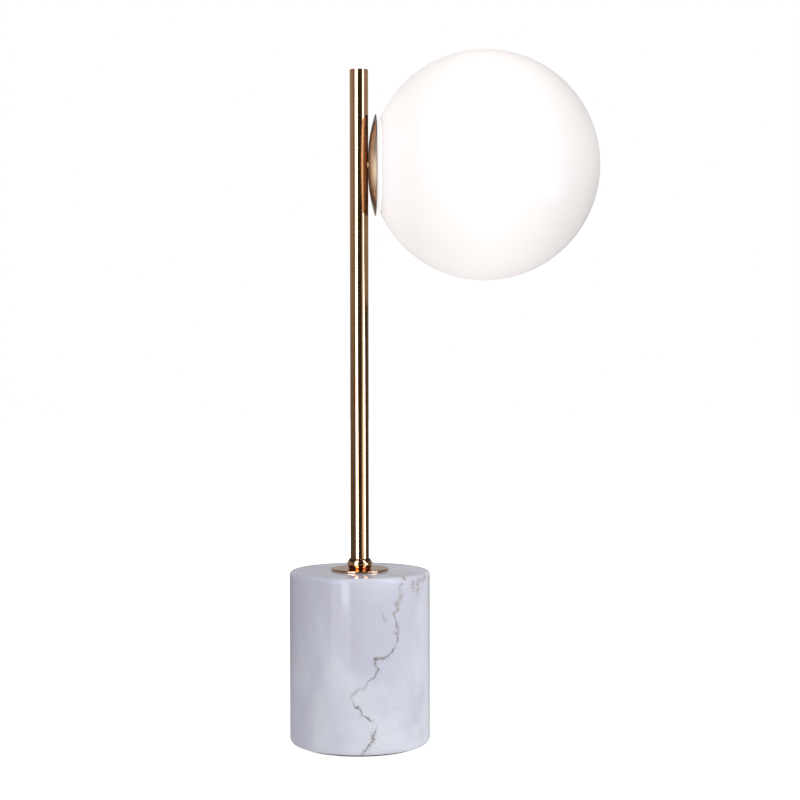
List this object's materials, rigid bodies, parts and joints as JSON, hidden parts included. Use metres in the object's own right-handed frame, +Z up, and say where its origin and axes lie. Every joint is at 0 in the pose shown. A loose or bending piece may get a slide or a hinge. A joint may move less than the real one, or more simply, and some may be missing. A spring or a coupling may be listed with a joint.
{
  "type": "table lamp",
  "caption": "Table lamp: a white globe held sideways on a shallow brass dish, near the top of a slim brass post on a veined marble drum. The globe and its bulb pull off.",
  "frame": {"origin": "middle of the foot pad's underside, on the marble drum's axis", "axes": "+Z up the post, +X from the post to the globe, +Y to the rear, where the cord's inlet is"},
  "size_m": [0.2705, 0.2, 0.6045],
  "materials": {
    "felt": "matt",
    "marble": "polished",
    "black_plastic": "fine texture",
    "nylon": "satin",
    "terminal_brass": "bright",
    "fibre": "matt",
    "gasket_rubber": "matt",
    "zinc_steel": "zinc plated",
    "spring_steel": "rolled",
    "polished_brass": "polished, aged",
    "spun_brass": "spun, brushed round",
    "raw_brass": "turned",
    "white_silicone": "matt",
    "porcelain": "glazed",
    "brown_lead": "satin",
    "blue_lead": "satin",
    "earth_lead": "satin",
    "opal_glass": "satin opal",
    "bulb_white": "satin",
    "pin_wire": "bright",
    "core_white": "gloss",
    "phosphor": "satin",
    "clear_cover": "clear"
  },
  "bodies": {
    "stand": {"foot_pad": "felt", "marble_base": "marble", "base_lid": "black_plastic", "cord_inlet_bush": "black_plastic", "terminal_body": "nylon", "terminal_sleeves": "terminal_brass", "holder_contacts": "terminal_brass", "fibre_washer": "fibre", "flange_gasket": "gasket_rubber", "terminal_screws": "zinc_steel", "terminal_fixings": "zinc_steel", "clamp_washer": "zinc_steel", "earth_tag": "zinc_steel", "rod_lock_washer": "zinc_steel", "rod_nut": "zinc_steel", "tie_rod": "zinc_steel", "side_nipple": "zinc_steel", "nipple_lock_washer": "zinc_steel", "nipple_nut": "zinc_steel", "spring_carrier": "zinc_steel", "spring_rivets": "zinc_steel", "holder_bridge": "zinc_steel", "bridge_screws": "zinc_steel", "bridge_nuts": "zinc_steel", "holder_screws": "zinc_steel", "holder_nuts": "zinc_steel", "globe_springs": "spring_steel", "base_flange": "polished_brass", "ball_collar": "polished_brass", "post_tube": "polished_brass", "post_cap": "polished_brass", "dish": "spun_brass", "post_bush": "raw_brass", "elbow_insert": "raw_brass", "globe_gasket": "white_silicone", "holder_body": "porcelain", "lead_live": "brown_lead", "lead_neutral": "blue_lead", "lead_earth": "earth_lead"},
    "globe": {"globe": "opal_glass"},
    "bulb": {"bulb_base": "bulb_white", "bulb_pins": "pin_wire", "led_core": "core_white", "led_chips": "phosphor", "bulb_cover": "clear_cover"}
  },
  "joints": [
    {"name": "globe_pull", "type": "slide", "parent": "stand", "child": "globe", "axis": [1, 0, 0], "range_m": [0, 0.1], "deforming": ["globe_springs"]},
    {"name": "bulb_pull", "type": "slide", "parent": "stand", "child": "bulb", "axis": [1, 0, 0], "range_m": [0, 0.02]}
  ]
}
